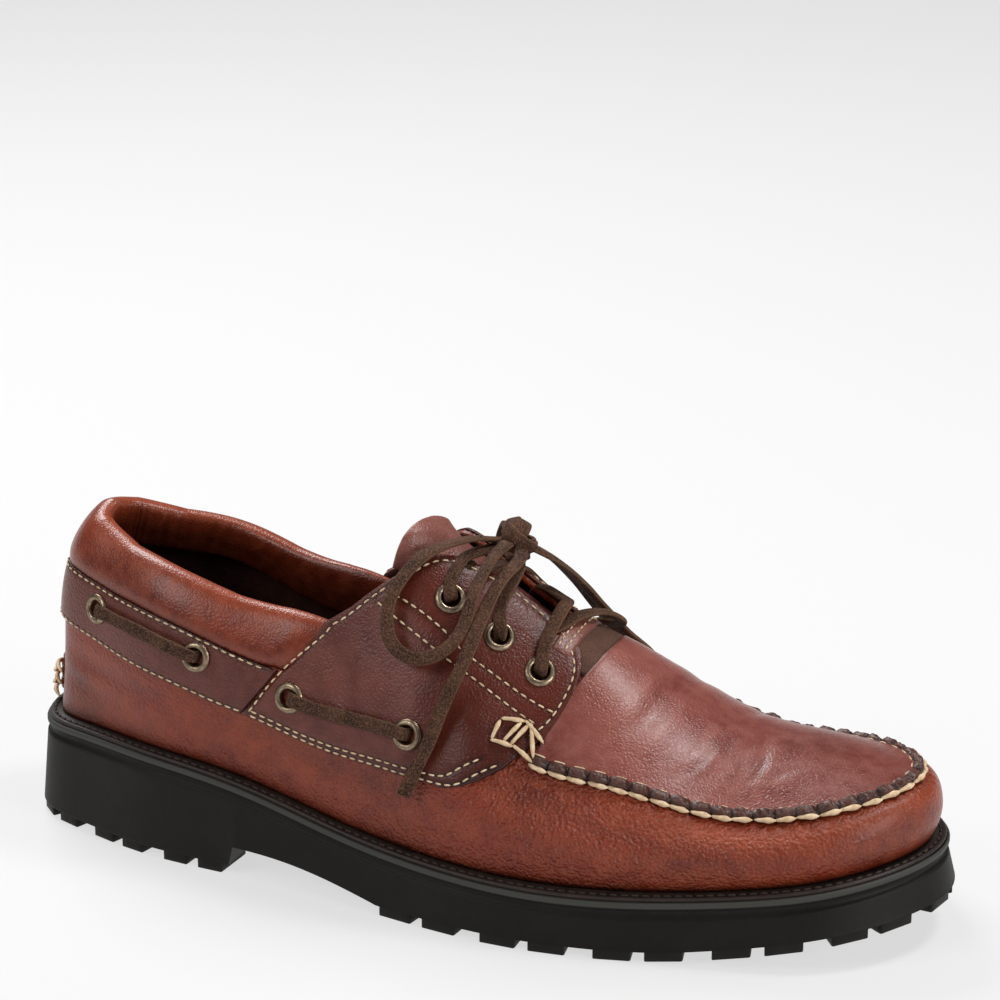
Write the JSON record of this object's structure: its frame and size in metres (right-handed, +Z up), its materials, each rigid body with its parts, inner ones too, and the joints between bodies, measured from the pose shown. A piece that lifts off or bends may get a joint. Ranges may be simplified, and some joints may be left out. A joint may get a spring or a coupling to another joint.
{
  "type": "boat shoe",
  "caption": "Low moccasin-toe boat shoe for a right foot: hollow leather upper, padded collar, side lacing, tongue, welt and lugged rubber sole with a heel.",
  "frame": {"origin": "floor under the middle of the shoe's length and width", "axes": "+X to the toe, +Y to the inner (medial) side of the foot, +Z up"},
  "size_m": [0.3042, 0.1126, 0.1173],
  "materials": {
    "rubber": "matte black moulded rubber",
    "welt_leather": "very dark brown stitched welt",
    "lining_leather": "dark brown lining leather",
    "vamp_leather": "red-brown pull-up leather, semi-gloss",
    "panel_leather": "purple-brown smooth leather",
    "seam_leather": "dark edge of the pinched seam",
    "eyelet_brass": "antique brass, satin",
    "rawhide": "dark brown rawhide lace, matte, speckled"
  },
  "bodies": {
    "root": {"outsole": "rubber", "welt": "welt_leather", "insole": "lining_leather", "upper": "vamp_leather", "collar": "vamp_leather", "back_band": "panel_leather", "saddle_lateral": "panel_leather", "saddle_medial": "panel_leather", "toe_seam": "seam_leather", "heel_seam": "vamp_leather", "tongue": "panel_leather", "eyelet_top_lateral": "eyelet_brass", "eyelet_middle_lateral": "eyelet_brass", "eyelet_front_lateral": "eyelet_brass", "eyelet_top_medial": "eyelet_brass", "eyelet_middle_medial": "eyelet_brass", "eyelet_front_medial": "eyelet_brass", "side_eyelet_heel_lateral": "eyelet_brass", "side_eyelet_band_lateral": "eyelet_brass", "side_eyelet_quarter_lateral": "eyelet_brass", "side_eyelet_saddle_lateral": "eyelet_brass", "side_eyelet_heel_medial": "eyelet_brass", "side_eyelet_band_medial": "eyelet_brass", "side_eyelet_quarter_medial": "eyelet_brass", "side_eyelet_saddle_medial": "eyelet_brass", "lace_crossings": "rawhide", "side_lace_heel_lateral": "rawhide", "side_lace_quarter_lateral": "rawhide", "side_lace_heel_medial": "rawhide", "side_lace_quarter_medial": "rawhide", "lace_knot": "rawhide", "lace_loop_lateral": "rawhide", "lace_loop_medial": "rawhide", "lace_end_lateral": "rawhide", "lace_end_medial": "rawhide"}
  },
  "joints": []
}
